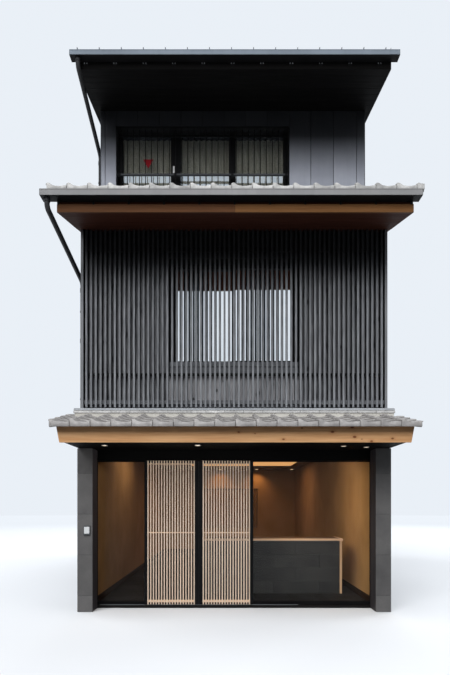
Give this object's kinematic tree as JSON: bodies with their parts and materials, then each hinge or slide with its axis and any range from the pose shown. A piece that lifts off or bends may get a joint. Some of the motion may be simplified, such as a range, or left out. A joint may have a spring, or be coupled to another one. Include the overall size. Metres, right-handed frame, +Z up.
{
  "type": "machiya townhouse",
  "caption": "Narrow three-storey machiya townhouse with tiled eaves, a full-width timber lattice, a glazed shopfront and sliding lattice doors",
  "frame": {"origin": "middle of the footprint at ground level, on the underside of the ground slab", "axes": "+Z up, -Y towards the street front, +X to the right when the front is looked at"},
  "size_m": [4.987, 10.6362, 9.3863],
  "materials": {
    "ground_stone": "honed stone tiles",
    "wall_cladding": "matt grey standing-seam sheet",
    "black_metal": "satin black powder coat",
    "window_glass": "clear float glass",
    "slate": "riven slate tiles",
    "floor_wood": "boarded floor on joists",
    "sill_metal": "brushed sill with a roller rail",
    "light_wood": "oiled light cypress",
    "lamp": "lit diffuser in a black ring",
    "bright_metal": "anodised plate",
    "dark_wood": "charcoal-stained timber",
    "cedar": "clear-finished knotty cedar",
    "brown_wood": "brown-stained timber",
    "roof_tile": "smoked silver-grey clay",
    "roof_metal": "dark grey standing-seam sheet"
  },
  "bodies": {
    "house": {"ground_slab": "ground_stone", "left_wall_lower": "wall_cladding", "right_wall_lower": "wall_cladding", "left_wall_upper": "wall_cladding", "right_wall_upper": "wall_cladding", "rear_wall": "wall_cladding", "rear_window_frames": "black_metal", "rear_window_glass": "window_glass", "left_pier": "slate", "right_pier": "slate", "second_floor": "floor_wood", "third_floor": "floor_wood", "shop_header": "black_metal", "door_sill": "sill_metal", "shop_frame": "black_metal", "shop_glass": "window_glass", "entrance_soffit": "black_metal", "downlights": "lamp", "intercom": "bright_metal", "counter_body": "slate", "counter_top": "light_wood", "lower_roof_deck": "dark_wood", "lower_fascia": "cedar", "lower_roof_tiles": "roof_tile", "lower_ridge_tiles": "roof_tile", "front_wall_second": "dark_wood", "second_window_frame": "black_metal", "second_window_glass": "window_glass", "board_screen": "dark_wood", "lattice": "dark_wood", "middle_roof_deck": "dark_wood", "middle_fascia": "brown_wood", "middle_roof_tiles": "roof_tile", "front_wall_third": "wall_cladding", "third_window_frame": "black_metal", "third_window_glass": "window_glass", "window_grille": "black_metal", "top_roof_front": "black_metal", "top_roof_back": "black_metal", "metal_roof": "roof_metal", "ridge_cap": "roof_metal", "gutters": "black_metal", "downpipes": "black_metal"},
    "left_leaf": {"left_leaf_frame": "black_metal", "left_leaf_lattice": "light_wood", "left_leaf_glass": "window_glass"},
    "right_leaf": {"right_leaf_frame": "black_metal", "right_leaf_lattice": "light_wood", "right_leaf_glass": "window_glass"}
  },
  "joints": [
    {"name": "left_leaf_slide", "type": "slide", "parent": "house", "child": "left_leaf", "axis": [-1, 0, 0], "range_m": [0, 0.69]},
    {"name": "right_leaf_slide", "type": "slide", "parent": "house", "child": "right_leaf", "axis": [1, 0, 0], "range_m": [0, 0.69]}
  ]
}
